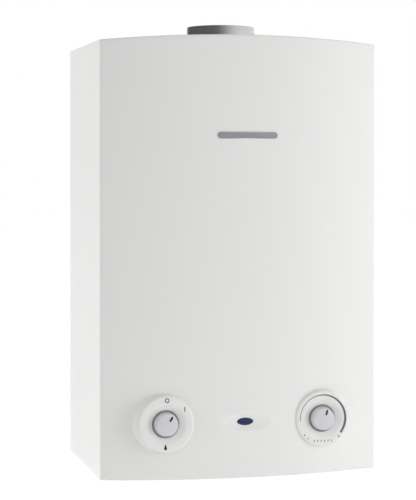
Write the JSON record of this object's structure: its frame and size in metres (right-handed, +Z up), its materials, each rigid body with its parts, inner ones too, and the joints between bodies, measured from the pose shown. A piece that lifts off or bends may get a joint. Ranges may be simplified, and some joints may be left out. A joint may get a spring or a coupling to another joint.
{
  "type": "gas boiler",
  "caption": "Wall-hung condensing gas boiler with a bowed white case, two front dials, a status lamp, a top flue collar and pipe tails below.",
  "frame": {"origin": "on the wall, at the centre of the wall plate's four fixing holes", "axes": "+X to the right of someone who faces the boiler, +Y into the wall, -Y towards the room, +Z up"},
  "size_m": [0.39, 0.277, 0.648],
  "materials": {
    "white_enamel": "semi-gloss white stoved enamel",
    "zinc_steel": "bright zinc-coated sheet steel",
    "white_plastic": "satin white moulded plastic",
    "silver_plastic": "silver-grey moulded plastic",
    "dark_plastic": "dark grey plastic trim",
    "black_print": "matt printed ink",
    "black_plastic": "matt black moulded plastic",
    "grey_plastic": "matt grey moulded plastic",
    "blue_lens": "deep blue moulded lens",
    "clear_plastic": "clear moulded light guide",
    "badge_silver": "satin silver plastic badge",
    "cast_aluminium": "as-cast aluminium",
    "stainless": "satin stainless steel",
    "galvanised": "galvanised steel",
    "bright_metal": "bright rolled steel ring",
    "brass": "machined brass",
    "copper": "drawn copper tube",
    "rubber": "black rubber",
    "grey_seal": "grey sealing rubber",
    "board_green": "coated circuit board",
    "white_duct": "white moulded duct plastic",
    "ceramic": "glazed white ceramic",
    "lever_yellow": "yellow dipped handle",
    "lead_sheath": "grey flexible sheath"
  },
  "bodies": {
    "chassis": {"wall_plate": "zinc_steel", "hanging_bracket": "zinc_steel", "chassis_back": "zinc_steel", "chassis_top": "white_enamel", "chassis_bottom": "zinc_steel", "wall_spacers": "rubber", "case_catches": "zinc_steel", "case_screws": "stainless", "control_box": "black_plastic", "control_box_cover": "black_plastic", "circuit_board": "board_green", "board_parts": "grey_plastic", "selector_switch": "grey_plastic", "temperature_potentiometer": "grey_plastic", "light_guide": "clear_plastic", "box_brackets": "zinc_steel", "heat_exchanger": "cast_aluminium", "burner_gasket": "grey_seal", "burner_door": "cast_aluminium", "burner": "stainless", "electrodes": "ceramic", "fan_housing": "cast_aluminium", "fan_back_plate": "galvanised", "fan_motor": "black_plastic", "gas_mixer": "cast_aluminium", "gas_valve": "cast_aluminium", "valve_coils": "black_plastic", "flow_pipe": "copper", "return_pipe": "copper", "union_nuts": "brass", "gas_cock": "brass", "gas_pipes": "copper", "gas_feed_pipe": "copper", "condensate_sump": "grey_plastic", "condensate_trap": "white_duct", "condensate_pipe": "white_duct", "flue_duct": "white_duct", "flue_turret": "cast_aluminium", "flue_seal": "grey_seal", "flue_collar": "bright_metal", "flue_screws": "stainless", "cable_gland": "black_plastic", "leads": "lead_sheath"},
    "case": {"outer_case": "white_enamel", "selector_bezel": "white_plastic", "temperature_bezel": "white_plastic", "dial_marks": "black_print", "lamp_lens": "blue_lens", "blank_badge": "badge_silver"},
    "selector": {"selector_knob": "silver_plastic", "selector_knob_ring": "dark_plastic", "selector_pointer": "black_plastic", "selector_spindle": "white_duct"},
    "temperature": {"temperature_knob": "silver_plastic", "temperature_knob_ring": "dark_plastic", "temperature_pointer": "black_plastic", "temperature_spindle": "white_duct"},
    "fan_rotor": {"fan_shaft": "stainless", "fan_impeller": "grey_plastic"},
    "gas_lever": {"gas_cock_lever": "lever_yellow"}
  },
  "joints": [
    {"name": "case_removal", "type": "slide", "parent": "chassis", "child": "case", "axis": [0, -1, 0], "range_m": [0, 0.3]},
    {"name": "selector_turn", "type": "hinge", "parent": "chassis", "child": "selector", "pos_m": [-0.11, -0.277, -0.4538], "axis": [0, 1, 0], "range_deg": [-32, 148]},
    {"name": "temperature_turn", "type": "hinge", "parent": "chassis", "child": "temperature", "pos_m": [0.11, -0.277, -0.4538], "axis": [0, 1, 0], "range_deg": [-149, 109]},
    {"name": "fan_spin", "type": "hinge", "parent": "chassis", "child": "fan_rotor", "pos_m": [0.112, -0.14, -0.01], "axis": [0, 1, 0], "continuous": true},
    {"name": "gas_lever_turn", "type": "hinge", "parent": "chassis", "child": "gas_lever", "pos_m": [0.14, -0.057, -0.46], "axis": [0, -1, 0], "range_deg": [0, 90]}
  ]
}
